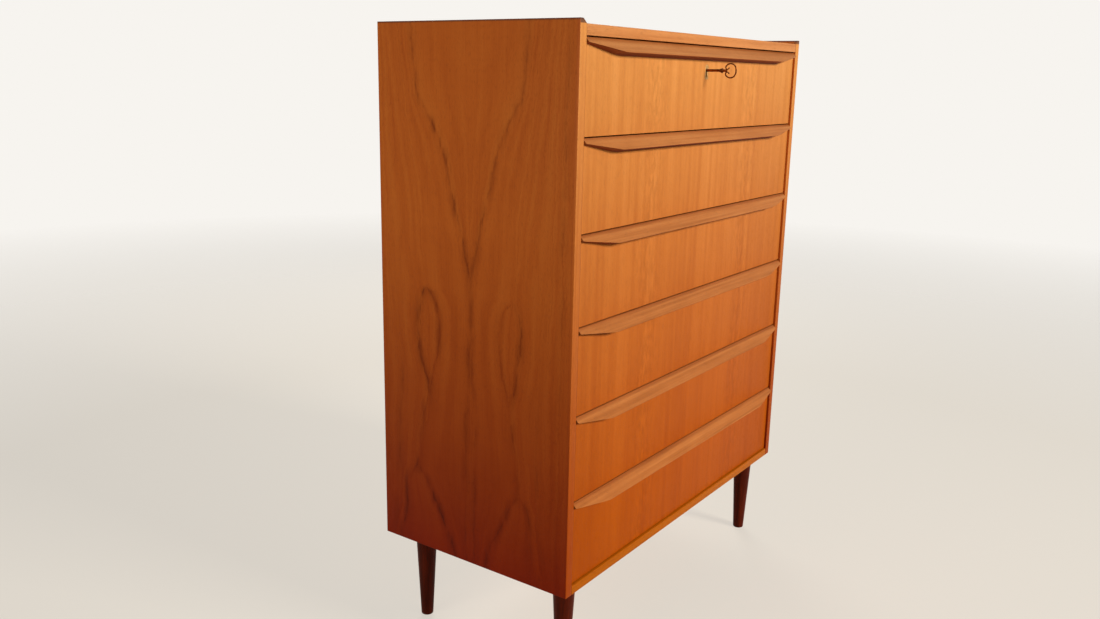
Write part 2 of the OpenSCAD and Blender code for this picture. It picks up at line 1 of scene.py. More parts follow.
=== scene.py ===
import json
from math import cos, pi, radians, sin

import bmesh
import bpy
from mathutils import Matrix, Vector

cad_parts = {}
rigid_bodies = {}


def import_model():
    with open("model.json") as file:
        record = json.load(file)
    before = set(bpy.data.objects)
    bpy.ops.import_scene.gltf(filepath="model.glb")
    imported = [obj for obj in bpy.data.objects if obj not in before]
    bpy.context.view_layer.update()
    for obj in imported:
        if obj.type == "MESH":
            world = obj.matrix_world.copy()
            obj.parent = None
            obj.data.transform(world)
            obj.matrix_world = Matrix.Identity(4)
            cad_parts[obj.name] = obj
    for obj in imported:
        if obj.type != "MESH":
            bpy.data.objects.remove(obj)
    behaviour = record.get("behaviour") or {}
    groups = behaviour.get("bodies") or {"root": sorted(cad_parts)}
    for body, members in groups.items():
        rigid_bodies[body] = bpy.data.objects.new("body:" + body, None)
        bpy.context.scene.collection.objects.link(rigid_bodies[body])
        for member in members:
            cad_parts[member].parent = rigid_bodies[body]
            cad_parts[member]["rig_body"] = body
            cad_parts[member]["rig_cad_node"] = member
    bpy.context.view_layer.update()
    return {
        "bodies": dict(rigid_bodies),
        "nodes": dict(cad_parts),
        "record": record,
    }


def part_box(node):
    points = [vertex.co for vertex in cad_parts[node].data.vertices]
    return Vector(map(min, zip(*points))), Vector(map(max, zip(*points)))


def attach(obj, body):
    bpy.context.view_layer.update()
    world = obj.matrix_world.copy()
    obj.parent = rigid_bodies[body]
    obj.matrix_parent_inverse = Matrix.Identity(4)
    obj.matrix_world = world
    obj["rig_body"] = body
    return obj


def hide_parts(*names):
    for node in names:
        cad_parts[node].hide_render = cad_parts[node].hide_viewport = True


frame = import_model()

# %% [markdown]
# # A tall chest of drawers in teak
# The construction comes in as a fixed frame: boards, drawers, legs, lock and screws, all in metres and
# all in place. This notebook gives those pieces their wood and metal, rounds the edges that a hand
# meets, and casts the key again in finer shape.

nodes = frame["nodes"]

# %% [markdown]
# ## Measures from the frame
# Everything below is placed from these few measures, so it stays right if the construction changes.

# %% Measures
side_low, side_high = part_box("left_side")
carcass_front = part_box("front_lippings")[0][1]
carcass_back = side_high[1]
carcass_foot, carcass_head = side_low[2], side_high[2]
half_inside = -side_high[0]
top_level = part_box("top_panel")[1][2]
side_middle = (carcass_front + carcass_back) / 2
print("carcass from", round(carcass_front, 4), "to", round(carcass_back, 4), "foot", carcass_foot)

# %% [markdown]
# ## The camera
# The viewer stands off the left front corner, a little below the top, and looks slightly down. The
# camera's place is measured from the lower front edge of the carcass. A look direction is turned into
# a rotation with `to_track_quat`, and a small roll is added because the horizon is not quite level.

# %% Camera
view_turn, view_fall, view_roll = radians(54.735), radians(13.38), radians(1.18)
stand_left, stand_before, stand_above = 1.5736, 0.7879, 0.8112
camera_place = Vector((-stand_left, carcass_front - stand_before, carcass_foot + stand_above))
look = Vector((sin(view_turn) * cos(view_fall), cos(view_turn) * cos(view_fall), -sin(view_fall)))
camera_data = bpy.data.cameras.new("camera")
camera_data.lens, camera_data.sensor_width = 32.04, 36.0
camera = bpy.data.objects.new("camera", camera_data)
bpy.context.scene.collection.objects.link(camera)
facing = look.to_track_quat("-Z", "Y").to_matrix().to_4x4()
camera.matrix_world = Matrix.Translation(camera_place) @ facing @ Matrix.Rotation(view_roll, 4, "Z")
bpy.context.scene.camera = camera
print("camera at", tuple(round(c, 3) for c in camera_place))

# %% [markdown]
# ## Working with nodes in code
# A material is a small graph. A few helpers keep the later cells short: `add` makes one node, sets it
# and feeds its sockets, and `reckon` does the same for one sum. Colours are written as on screen,
# from 0 to 255, and `paint` turns them into the linear numbers that a shader wants. A tint multiplies
# a colour, so a white one leaves it as it is.

# %% Node helpers
def add(tree, kind, feeds=None, **settings):
    """One node. A feed is a number, a colour, or the output of another node."""
    node = tree.nodes.new("ShaderNode" + kind)
    for setting, value in settings.items():
        setattr(node, setting, value)
    for socket, value in (feeds or {}).items():
        if isinstance(value, bpy.types.NodeSocket):
            tree.links.new(value, node.inputs[socket])
        else:
            node.inputs[socket].default_value = value
    return node


def reckon(tree, operation, first, second=0.0, clamp=False):
    """The result of one sum, as an output that can feed another node."""
    node = add(tree, "Math", {0: first, 1: second}, operation=operation, use_clamp=clamp)
    return node.outputs[0]


def paint(red, green, blue):
    """A screen colour in linear numbers, with full opacity."""
    shares = [c / 255 for c in (red, green, blue)]
    return tuple(c / 12.92 if c < 0.04045 else ((c + 0.055) / 1.055) ** 2.4 for c in shares) + (1,)


def mix(tree, amount, first, second, blend_type="MIX"):
    """Two colours mixed by an amount from 0 to 1."""
    node = add(tree, "Mix", {0: amount, 6: first, 7: second}, data_type="RGBA", blend_type=blend_type)
    return node.outputs[2]


def tinted(tree, colour, tint):
    """A colour multiplied by a tint."""
    return mix(tree, 1.0, colour, tint, "MULTIPLY")


def between(tree, value, low, high, to_low=0.0, to_high=1.0):
    """Stretches the part of a value that lies between low and high over a new range."""
    feeds = {"Value": value, "From Min": low, "From Max": high, "To Min": to_low, "To Max": to_high}
    return add(tree, "MapRange", feeds).outputs["Result"]


def one_of(tree, vector, axis):
    """One of the three numbers of a vector."""
    return add(tree, "SeparateXYZ", {0: vector}).outputs[axis]


no_tint = (1, 1, 1, 1)
print("node helpers ready; middle grey is", round(paint(128, 128, 128)[0], 3))

# %% [markdown]
# ## The stage
# A plain pale floor carries the chest and takes its shadow. Far out it turns transparent, so floor and
# surroundings run into each other without a horizon line. Floor and world are paler for the eye and
# for reflections than they are as a source of light, so that the lamps alone shape the object. The
# Light Path node tells which kind of ray asks, and a mask made from it is all that this takes.

# %% Floor
def select_only(*pieces):
    """Selects only these pieces, or nothing. The last one becomes the active one."""
    bpy.ops.object.select_all(action="DESELECT")
    for piece in pieces:
        piece.select_set(True)
        bpy.context.view_layer.objects.active = piece


scene = bpy.context.scene
scene.view_settings.view_transform = "Standard"
floor_reach, fade_start, fade_end = 9.0, 1.6, 5.4
select_only()
bpy.ops.mesh.primitive_circle_add(vertices=64, radius=floor_reach, fill_type="NGON")
floor = bpy.context.object
floor.name = "floor"

floor_finish = bpy.data.materials.new("pale_floor")
floor_finish.use_nodes = True
tree = floor_finish.node_tree
floor_shader = tree.nodes["Principled BSDF"]
floor_shader.inputs["Base Color"].default_value = paint(208, 199, 186)
floor_shader.inputs["Roughness"].default_value = 0.6
print("floor", floor_reach, "m, fading from", fade_start, "m")


# %% The floor for the eye, and its fading
def for_the_eye(tree, in_gloss):
    """1 for what the camera or a glass sees, the given share in reflections, 0 for light on things."""
    ray = add(tree, "LightPath")
    seen = reckon(tree, "MAXIMUM", ray.outputs["Is Camera Ray"], ray.outputs["Is Transmission Ray"])
    mirrored = reckon(tree, "MULTIPLY", ray.outputs["Is Glossy Ray"], in_gloss)
    return reckon(tree, "MAXIMUM", seen, mirrored)


share_in_gloss, floor_glow = 0.4, 0.6
glow = add(tree, "Emission", {"Color": paint(250, 244, 234), "Strength": 1.0})
glow_share = reckon(tree, "MULTIPLY", for_the_eye(tree, share_in_gloss), floor_glow)
pale = add(tree, "MixShader", {0: glow_share, 1: floor_shader.outputs[0], 2: glow.outputs[0]})
far_out = add(tree, "VectorMath", {0: add(tree, "TexCoord").outputs["Object"]}, operation="LENGTH")
fade = between(tree, far_out.outputs["Value"], fade_start, fade_end)
clear = add(tree, "BsdfTransparent")
joined = add(tree, "MixShader", {0: fade, 1: pale.outputs[0], 2: clear.outputs[0]})
tree.links.new(joined.outputs[0], tree.nodes["Material Output"].inputs["Surface"])
floor.data.materials.append(floor_finish)
print("made", floor_finish.name)

# %% World
world = bpy.data.worlds.new("pale_room")
world.use_nodes = True
scene.world = world
tree = world.node_tree
light_share = 0.13
strength = between(tree, for_the_eye(tree, share_in_gloss), 0.0, 1.0, light_share, 1.0)
backdrop = tree.nodes["Background"]
backdrop.inputs["Color"].default_value = paint(247, 244, 239)
tree.links.new(strength, backdrop.inputs["Strength"])
print("world lights at", light_share)

# %% [markdown]
# ## The lamps
# One large soft lamp hangs in front of the chest and above its top, and meets the drawer fronts nearly
# squarely. The left side gets no light from it, only that of a weaker lamp which stands for a pale wall
# on the left: that is why the side looks so much darker, and painted shade darkens it further towards
# the floor. A third lamp behind on the right shows the back and the other side.

# %% Lamps
def soft_lamp(name, place, aim, size, power, colour, spread):
    """A rectangular lamp at a place, turned towards the aim, that spreads over an angle in degrees."""
    bpy.ops.object.light_add(type="AREA", location=place)
    lamp = bpy.context.object
    lamp.name = name
    lamp.data.shape = "RECTANGLE"
    lamp.data.size, lamp.data.size_y = size
    lamp.data.energy = power
    lamp.data.color = paint(*colour)[:3]
    lamp.data.spread = radians(spread)
    lamp.rotation_euler = (Vector(aim) - Vector(place)).to_track_quat("-Z", "Y").to_euler()
    print(name, "at", place, power, "W")


soft_lamp("main_lamp", (0.5, -5.0, 2.75), (0, -0.17, 1.05), (1.5, 1.0), 72, (255, 250, 240), 90)
soft_lamp("side_lamp", (-2.9, 0.5, 1.6), (-0.4, 0.03, 1.0), (1.4, 1.2), 5.5, (255, 250, 242), 80)
soft_lamp("rear_lamp", (2.3, 2.0, 1.9), (0, 0, 0.5), (1.6, 1.2), 40, (255, 252, 246), 180)

# %% [markdown]
# ## Wood grain
# Teak shows the same things at several scales: broad lighter and darker streaks, thin dark lines where
# the rings end, fine fibres, and short open pores. All are noise that is stretched along the grain.
# They could be painted on an image, but then a seam would show between boards. As a node group that
# reads the place on the piece, the grain runs on from drawer to drawer as in veneer from one log. The
# group is built once, with the grain along its Z axis, and every wood uses it with its own values.

# %% A start for node groups, and noise
def start_group(name, takes, gives):
    """An empty node group with its sockets. Returns the group, what it is given and what it gives."""
    group = bpy.data.node_groups.new(name, "ShaderNodeTree")
    kinds = {float: "NodeSocketFloat", tuple: "NodeSocketColor", Vector: "NodeSocketVector"}
    for socket, start in takes.items():
        made = group.interface.new_socket(socket, in_out="INPUT", socket_type=kinds[type(start)])
        made.default_value = start
    for socket, kind in gives.items():
        group.interface.new_socket(socket, in_out="OUTPUT", socket_type=kinds[kind])
    given = group.nodes.new("NodeGroupInput").outputs
    result = group.nodes.new("NodeGroupOutput").inputs
    return group, given, result


def noise(tree, place, **values):
    """Noise between 0 and 1 at a place, centred on a half."""
    feeds = {"Vector": place, "Scale": 1.0}
    feeds.update({name.capitalize(): value for name, value in values.items()})
    return add(tree, "TexNoise", feeds).outputs[0]


def stretched(tree, place, size):
    """A place measured in patches of the given size, so that noise comes out that large."""
    shrink = [1 / side for side in size]
    return add(tree, "VectorMath", {0: place, 1: shrink}, operation="MULTIPLY").outputs[0]


def swing(tree, value, amount):
    """Noise around a half, turned into a shift to either side."""
    return reckon(tree, "MULTIPLY", reckon(tree, "SUBTRACT", value, 0.5), amount)


print("noise helpers ready")

# %% Group: wood grain
grain, given, result = start_group(
    "wood_grain",
    {"Place": Vector(), "Fine Place": Vector(), "Streak Width": 0.012, "Streak Length": 0.5,
     "Wander": 0.004},
    {"Streaks": float, "Bands": float, "Lines": float, "Fibres": float, "Pores": float})
drift_size, band_size, patch_size = (0.25, 0.25, 0.7), (0.07, 0.07, 1.6), (0.022, 0.022, 0.075)
drift = noise(grain, stretched(grain, given["Place"], drift_size), detail=2.0)
drift = swing(grain, drift, given["Wander"])
drift = add(grain, "CombineXYZ", {"X": reckon(grain, "MULTIPLY", drift, 2.0), "Y": drift})
place = add(grain, "VectorMath", {0: given["Place"], 1: drift.outputs[0]}, operation="ADD").outputs[0]
streak_size = add(grain, "CombineXYZ", {"X": given["Streak Width"], "Y": given["Streak Width"],
                                        "Z": given["Streak Length"]})
streak_place = add(grain, "VectorMath", {0: place, 1: streak_size.outputs[0]}, operation="DIVIDE")
streaks = noise(grain, streak_place.outputs[0], detail=3.0, roughness=0.5)
grain.links.new(streaks, result["Streaks"])

# Broad bands lie across several streaks, and short patches of them shimmer where the fibres dip.
bands = noise(grain, stretched(grain, place, band_size), detail=1.0)
patches = noise(grain, stretched(grain, place, patch_size), detail=2.0, roughness=0.6)
band_share, patch_share = 0.55, 0.45
both = reckon(grain, "ADD", reckon(grain, "MULTIPLY", bands, band_share),
              reckon(grain, "MULTIPLY", patches, patch_share))
grain.links.new(both, result["Bands"])
print("group", grain.name, "has streaks and bands")

# %% Lines, fibres and pores of the grain
# A line is the thin contour where a noise passes through a half. Lines show only in some bands.
other_spot, line_half = (3.7, 1.9, 6.1), 0.02
fibre_size, pore_size = (0.0009, 0.0009, 0.09), (0.0005, 0.0005, 0.008)
line_place = add(grain, "VectorMath", {0: streak_place.outputs[0], 1: other_spot}, operation="ADD")
ring = noise(grain, line_place.outputs[0], detail=1.0, roughness=0.4)
off_ring = reckon(grain, "ABSOLUTE", reckon(grain, "SUBTRACT", ring, 0.5))
sparse = between(grain, bands, 0.45, 0.65)
line = reckon(grain, "MULTIPLY", between(grain, off_ring, 0.0, line_half, 1.0, 0.0), sparse)
grain.links.new(line, result["Lines"])

fine = given["Fine Place"]
fibres = noise(grain, stretched(grain, fine, fibre_size), detail=2.0, roughness=0.6)
grain.links.new(fibres, result["Fibres"])
pores = noise(grain, stretched(grain, fine, pore_size), detail=1.0)
grain.links.new(between(grain, pores, 0.62, 0.72), result["Pores"])
print("group", grain.name, "has", len(grain.nodes), "nodes")

# %% [markdown]
# ## From grain to finish
# A second group turns the five grain patterns into what the shader needs: a colour between a dark, a
# middle and a light tone, a roughness, and a height for the bump. Rounded edges carry an attribute that
# makes them a little smoother, from the rubbing of hands and cloths, and lighter, which is partly wear
# and partly a painted highlight.

# %% Group: wood tone
tone, given, result = start_group(
    "wood_tone",
    {"Streaks": 0.5, "Bands": 0.5, "Lines": 0.0, "Fibres": 0.5, "Pores": 0.0,
     "Dark": (0.2, 0.1, 0.05, 1.0), "Middle": (0.4, 0.2, 0.1, 1.0), "Light": (0.6, 0.3, 0.2, 1.0),
     "Line Depth": 0.4, "Pore Depth": 0.4, "Satin": 0.42},
    {"Color": tuple, "Roughness": float, "Height": float})
shares = {"Streaks": 0.45, "Bands": 0.35, "Fibres": 0.2}
dark_at, middle_at, light_at = 0.36, 0.50, 0.64
value = 0.0
for pattern, amount in shares.items():
    value = reckon(tone, "ADD", value, reckon(tone, "MULTIPLY", given[pattern], amount))
colour = mix(tone, between(tone, value, middle_at, light_at), given["Middle"], given["Light"])
colour = mix(tone, between(tone, value, middle_at, dark_at), colour, given["Dark"])
colour = mix(tone, reckon(tone, "MULTIPLY", given["Lines"], given["Line Depth"]), colour, given["Dark"])
pore_tint = (0.55, 0.5, 0.5, 1)
deep = tinted(tone, given["Dark"], pore_tint)
colour = mix(tone, reckon(tone, "MULTIPLY", given["Pores"], given["Pore Depth"]), colour, deep)

wear_and_highlight_share, worn_polish, satin_swing, fibre_relief = 0.5, 0.08, 0.2, 0.4
# Rounded edges turn lighter: partly wear, partly a painted highlight.
worn_and_highlit = add(tone, "Attribute", attribute_name="worn_and_highlit").outputs["Fac"]
colour = mix(tone, reckon(tone, "MULTIPLY", worn_and_highlit, wear_and_highlight_share), colour, given["Light"])
tone.links.new(colour, result["Color"])
satin = reckon(tone, "ADD", given["Satin"], swing(tone, given["Fibres"], satin_swing))
tone.links.new(reckon(tone, "SUBTRACT", satin, reckon(tone, "MULTIPLY", worn_and_highlit, worn_polish)),
               result["Roughness"])
raised = reckon(tone, "MULTIPLY", given["Fibres"], fibre_relief)
tone.links.new(reckon(tone, "SUBTRACT", raised, given["Pores"]), result["Height"])
print("group", tone.name, "has", len(tone.nodes), "nodes")

# %% [markdown]
# ## A material from the two groups
# Each wood is then a short recipe: where its grain runs, how wide the streaks are, and its tones. The
# Principled shader stays in the material itself. `turned` lays the grain along another axis.

# %% Wood recipe
along = {"Z": (0, 0, 0), "X": (0, radians(90), 0), "Y": (radians(90), 0, 0)}
wood_ior, open_relief, close_relief, relief_strength = 1.45, 0.0003, 0.0002, 0.6


def use(tree, group, feeds):
    """A node group placed in a material, with its sockets fed."""
    return add(tree, "Group", feeds, node_tree=group)


def turned(tree, axis, shift=(0, 0, 0)):
    """The place on the piece, turned so that the grain runs along the given axis."""
    place = add(tree, "TexCoord").outputs["Object"]
    feeds = {"Vector": place, "Rotation": along[axis], "Location": shift}
    return add(tree, "Mapping", feeds).outputs[0]


def new_finish(name, **constants):
    """A material with its Principled shader, and values that are the same all over."""
    finish = bpy.data.materials.new(name)
    finish.use_nodes = True
    shader = finish.node_tree.nodes["Principled BSDF"]
    for socket, value in constants.items():
        shader.inputs[socket.replace("_", " ")].default_value = value
    return finish, finish.node_tree, shader


def new_wood(name, gloss):
    """An empty wood finish with the gloss of its oil."""
    return new_finish(name, IOR=wood_ior, Specular_IOR_Level=gloss)


def connect(tree, shader, colour, roughness, height, depth=open_relief):
    """Joins colour, roughness and bump to the shader."""
    tree.links.new(colour, shader.inputs["Base Color"])
    tree.links.new(roughness, shader.inputs["Roughness"])
    bump = add(tree, "Bump", {"Height": height, "Distance": depth, "Strength": relief_strength})
    tree.links.new(bump.outputs["Normal"], shader.inputs["Normal"])


def wood_nodes(tree, place, tones, width, length, wander=0.004, lines=0.35, pores=0.35, satin=0.46,
               fine_place=None):
    """Grain and tone for one kind of wood; the result gives Color, Roughness and Height."""
    patterns = use(tree, grain, {"Place": place, "Fine Place": fine_place or place, "Wander": wander,
                                 "Streak Width": width, "Streak Length": length})
    feeds = {name: patterns.outputs[name] for name in ("Streaks", "Bands", "Lines", "Fibres", "Pores")}
    dark, middle, light = tones
    feeds.update({"Dark": paint(*dark), "Middle": paint(*middle), "Light": paint(*light),
                  "Line Depth": lines, "Pore Depth": pores, "Satin": satin})
    return use(tree, tone, feeds).outputs


print("wood recipe ready for grain along", ", ".join(along))

# %% [markdown]
# ## Teak, from floor to top
# Painted shade deepens towards the floor: the lower drawers are redder and darker than the upper ones,
# which stand in more light. One more group shifts a colour with the height above the floor.

# %% Group: painted shade by height
shade_by_height, given, result = start_group(
    "painted_shade_by_height",
    {"Color": (0.5, 0.3, 0.1, 1.0), "Place": Vector(), "Low": (1.0, 1.0, 1.0, 1.0), "Reach": 1.0,
     "Bend": 1.0}, {"Color": tuple})
share = between(shade_by_height, one_of(shade_by_height, given["Place"], "Z"), carcass_foot, carcass_head)
share = reckon(shade_by_height, "DIVIDE", share, given["Reach"], clamp=True)
share = reckon(shade_by_height, "POWER", share, given["Bend"])
tint = mix(shade_by_height, share, given["Low"], no_tint)
shade_by_height.links.new(tinted(shade_by_height, given["Color"], tint), result["Color"])
print("group", shade_by_height.name)

# %% Teak for the drawer fronts
front_tones = ((206, 133, 68), (218, 146, 76), (227, 156, 86))
# The low tint of the fronts is painted shade: it turns them darker and redder towards the floor.
front_floor_shade, front_bend = (0.64, 0.28, 0.0, 1), 1.7
teak_fronts, tree, shader = new_wood("teak_fronts", 0.08)
upright = turned(tree, "Z")
wood = wood_nodes(tree, upright, front_tones, 0.015, 0.9, lines=0.15)
height_shaded = use(tree, shade_by_height, {"Color": wood["Color"], "Place": upright, "Low": front_floor_shade,
                         "Bend": front_bend})

# The fronts were cut one below the other from a single sheet, so a curl in the log shows in all of
# them as two columns of short strokes, which shift a little from drawer to drawer.
curl_columns, curl_half, curl_share, curl_sway = (-0.168, 0.188), 0.05, 0.55, 0.10
sway = noise(tree, stretched(tree, upright, (9.0, 9.0, 0.2)))
across = reckon(tree, "ADD", one_of(tree, upright, "X"), swing(tree, sway, curl_sway))
curled = 0.0
for column in curl_columns:
    off = reckon(tree, "ABSOLUTE", reckon(tree, "SUBTRACT", across, column))
    curled = reckon(tree, "MAXIMUM", curled, between(tree, off, 0.0, curl_half, 1.0, 0.0))
strokes = noise(tree, stretched(tree, upright, (0.008, 0.008, 0.022)), detail=3.0, roughness=0.6)
stroke_tint = mix(tree, between(tree, strokes, 0.38, 0.62), (0.78, 0.74, 0.68, 1), (1.14, 1.16, 1.2, 1))
fuller = mix(tree, reckon(tree, "MULTIPLY", curled, curl_share), no_tint, stroke_tint)
figured = tinted(tree, height_shaded.outputs["Color"], fuller)
connect(tree, shader, figured, wood["Roughness"], wood["Height"])
print("made", teak_fronts.name)

# %% [markdown]
# ## The book-matched sides
# Each side of the carcass wears two leaves of veneer, cut one after the other from the same log and
# opened like a book, so the figure on one half mirrors the other. Its veins rise as tall arches, meet
# in long loops and run together at the middle. Plain noise can't draw that, so the veins are given as
# lines: at each height a distance from the middle. The grain between two lines is then stretched to
# fill the room they leave, which makes it crowd together where the veins pinch, as it does in wood.

# %% The veins of the figure
# Heights above the foot of the side and distances from its middle in millimetres, then the depth of
# the line at some heights, from 0 to 1. The lines are listed from the middle outwards.
veins = (
    (((0, 7), (50, 9), (150, 8.5), (280, 8), (330, 3.5), (420, 2), (490, 1.5), (515, 6), (550, 14),
      (600, 29), (650, 42), (700, 56), (735, 76), (765, 95), (790, 106), (850, 114), (892, 118)),
     ((0, 0.6), (280, 0.6), (330, 0.65), (480, 0.7), (520, 0.9), (640, 1.0), (760, 0.85), (892, 0.6))),
    (((0, 33), (15, 36), (45, 48), (100, 76), (135, 96), (150, 106), (200, 102), (250, 88), (300, 83),
      (325, 75), (350, 67), (380, 62), (410, 62), (430, 64), (445, 69), (456, 76), (463, 83), (467, 89),
      (480, 91), (600, 98), (700, 112), (765, 126), (850, 138), (892, 143)),
     ((0, 0.9), (60, 1.0), (140, 0.7), (180, 0.1), (240, 0.3), (320, 0.6), (460, 0.8), (469, 0.7),
      (476, 0.0), (892, 0.1))),
    (((0, 152), (15, 151), (50, 138), (120, 133), (140, 119), (150, 112), (200, 106), (250, 93),
      (300, 87), (325, 95), (350, 102), (380, 106), (410, 107), (430, 106), (445, 103), (456, 99),
      (463, 95), (467, 92), (480, 94), (600, 109), (700, 124), (765, 138), (850, 150), (892, 155)),
     ((0, 0.7), (110, 0.8), (150, 0.7), (210, 0.3), (250, 0.8), (300, 0.9), (360, 1.0), (460, 1.0),
      (469, 0.8), (476, 0.0), (892, 0.1))),
    (((0, 172), (100, 152), (180, 149), (250, 145), (310, 142), (400, 150), (500, 160), (600, 164),
      (700, 168), (892, 177)),
     ((0, 0.2), (100, 0.4), (310, 0.4), (360, 0.1), (892, 0.1))),
    (((0, 186), (400, 190), (892, 192)),
     ((0, 0.2), (380, 0.3), (450, 0.6), (800, 0.5), (892, 0.3))))
print("veins:", len(veins), "lines")


# %% Group: book-matched figure
def follow(tree, share, points, reach):
    """A value that runs smoothly through (height, value) points, for a height given as a share."""
    node = add(tree, "FloatCurve", {"Value": share})
    span = (carcass_head - carcass_foot) * 1000
    knots = node.mapping.curves[0].points
    knots[0].location = (points[0][0] / span, points[0][1] / reach)
    knots[-1].location = (points[-1][0] / span, points[-1][1] / reach)
    for height, value in points[1:-1]:
        knots.new(height / span, value / reach)
    node.mapping.update()
    return node.outputs[0]


figure, given, result = start_group(
    "book_matched_figure", {"Place": Vector()}, {"Place": Vector, "Veins": float})
half_depth, leaf_room, step, seam = 0.2, 0.03, 0.003, 0.001
front_stretch, rear_stretch = 1.07, 0.93
waver_size, waver_swing = (0.5, 0.06, 0.09), 0.014
ragged_size, ragged_swing = (0.5, 0.010, 0.018), 0.011
upwards = one_of(figure, given["Place"], "Z")
share = between(figure, upwards, carcass_foot, carcass_head)
share_above = between(figure, upwards, carcass_foot - step, carcass_head - step)
waver = noise(figure, stretched(figure, given["Place"], waver_size), detail=2.0)
ragged = noise(figure, stretched(figure, given["Place"], ragged_size), detail=3.0, roughness=0.7)
waver = reckon(figure, "ADD", swing(figure, waver, waver_swing), swing(figure, ragged, ragged_swing))
from_middle = reckon(figure, "SUBTRACT", one_of(figure, given["Place"], "Y"), side_middle)
across = reckon(figure, "ADD", from_middle, waver)
leaf_stretch = between(figure, across, -seam, seam, front_stretch, rear_stretch)
across = reckon(figure, "MULTIPLY", reckon(figure, "ABSOLUTE", across), leaf_stretch)
edges = [0.0] + [reckon(figure, "MULTIPLY", follow(figure, share, line, half_depth * 1000), half_depth)
                 for line, depth in veins] + [half_depth]
flow = 0.0
for inner, outer in zip(edges, edges[1:]):
    flow = reckon(figure, "ADD", flow, between(figure, across, inner, outer, 0.0, leaf_room))
turned_back = add(figure, "CombineXYZ", {"X": flow, "Z": upwards})
figure.links.new(turned_back.outputs[0], result["Place"])
print("group", figure.name, "follows", len(veins), "veins")

# %% The darkness of the veins
# How far a spot is from a vein is measured square to the vein, so a vein keeps its width in an arch.
# Each has a thin core and a soft red-brown halo, and both come and go along the grain. The rear leaf
# took the stain a little deeper than the front one.
vein_half, core_depth, halo_half, halo_depth = 0.003, 0.3, 0.016, 0.85
front_stain, rear_stain, stain_blend = 0.72, 1.0, 0.05
gap_size, cloud_size = (0.5, 0.005, 0.035), (0.5, 0.014, 0.06)
gaps = noise(figure, stretched(figure, given["Place"], gap_size), detail=3.0)
thin = between(figure, gaps, 0.47, 0.60)
clouds = noise(figure, stretched(figure, given["Place"], cloud_size), detail=3.0)
cloudy = between(figure, clouds, 0.40, 0.60, 0.2, 1.0)
stained = between(figure, from_middle, -stain_blend, stain_blend, front_stain, rear_stain)
mask = 0.0
for edge, (line, depth) in zip(edges[1:-1], veins):
    above = follow(figure, share_above, line, half_depth * 1000)
    above = reckon(figure, "MULTIPLY", above, half_depth)
    slope = reckon(figure, "DIVIDE", reckon(figure, "SUBTRACT", above, edge), step)
    lean = reckon(figure, "SQRT", reckon(figure, "ADD", reckon(figure, "MULTIPLY", slope, slope), 1.0))
    off = reckon(figure, "ABSOLUTE", reckon(figure, "SUBTRACT", across, edge))
    off = reckon(figure, "DIVIDE", off, lean)
    core = reckon(figure, "MULTIPLY", between(figure, off, 0.0, vein_half, core_depth, 0.0), thin)
    halo = between(figure, off, 0.0, halo_half, 1.0, 0.0)
    halo = reckon(figure, "MULTIPLY", reckon(figure, "MULTIPLY", halo, halo), cloudy)
    vein = reckon(figure, "ADD", core, reckon(figure, "MULTIPLY", halo, halo_depth))
    vein = reckon(figure, "MULTIPLY", vein, follow(figure, share, depth, 1.0))
    mask = reckon(figure, "MAXIMUM", mask, vein)
figure.links.new(reckon(figure, "MULTIPLY", mask, stained), result["Veins"])
print("group", figure.name, "has", len(figure.nodes), "nodes")

# %% Teak for the sides
# The raised upper edge of a side is much darker than its face.
side_tones = ((192, 92, 32), (208, 106, 38), (217, 117, 44))
# The lowest tint of the sides is painted shade that darkens them towards the floor.
side_floor_shade, side_reach = (0.46, 0.13, 0.03, 1), 0.65
vein_tone, vein_share = paint(112, 38, 14), 0.8
rim_tone, rim_share = paint(88, 58, 50), 0.8
rim_start, rim_full = carcass_head - 0.0035, carcass_head - 0.001


def darken_rim(tree, colour, upwards):
    """The colour, and the dark tone of the rim near the carcass's upper edge."""
    is_rim = between(tree, upwards, rim_start, rim_full)
    return mix(tree, reckon(tree, "MULTIPLY", is_rim, rim_share), colour, rim_tone)


teak_sides, tree, shader = new_wood("teak_sides", 0.06)
upright = turned(tree, "Z")
leaves = use(tree, figure, {"Place": upright}).outputs
wood = wood_nodes(tree, leaves["Place"], side_tones, 0.008, 0.5, wander=0.002, fine_place=upright)
veined = mix(tree, reckon(tree, "MULTIPLY", leaves["Veins"], vein_share), wood["Color"], vein_tone)
height_shaded = use(tree, shade_by_height, {"Color": veined, "Place": upright, "Low": side_floor_shade, "Reach": side_reach})
colour = darken_rim(tree, height_shaded.outputs["Color"], one_of(tree, upright, "Z"))
connect(tree, shader, colour, wood["Roughness"], wood["Height"])
print("made", teak_sides.name)

# %% [markdown]
# ## Pulls and edge strips
# The pulls and the strips on the front edges of the carcass are solid teak, with the grain along their
# length. The pulls are browner than the fronts, since hands have oiled them. The four strips are one
# piece in the frame and could be split, but one material can also tell the rails from the stiles: it
# mixes two grains by how far a spot is from the middle.

# %% Teak for the pulls
pull_tones = ((158, 96, 47), (181, 115, 62), (196, 132, 76))
teak_pulls, tree, shader = new_wood("teak_pulls", 0.15)
level, upright = turned(tree, "X"), turned(tree, "Z")
wood = wood_nodes(tree, level, pull_tones, 0.006, 0.5)
# The low tint of the pulls is painted shade, which turns the lower pulls redder.
pull_floor_shade, underside_shade_tint, gap_shade_tint = (1.12, 0.96, 0.74, 1), (0.5, 0.18, 0.08, 1), (0.6, 0.38, 0.22, 1)
height_shaded = use(tree, shade_by_height, {"Color": wood["Color"], "Place": upright, "Low": pull_floor_shade})
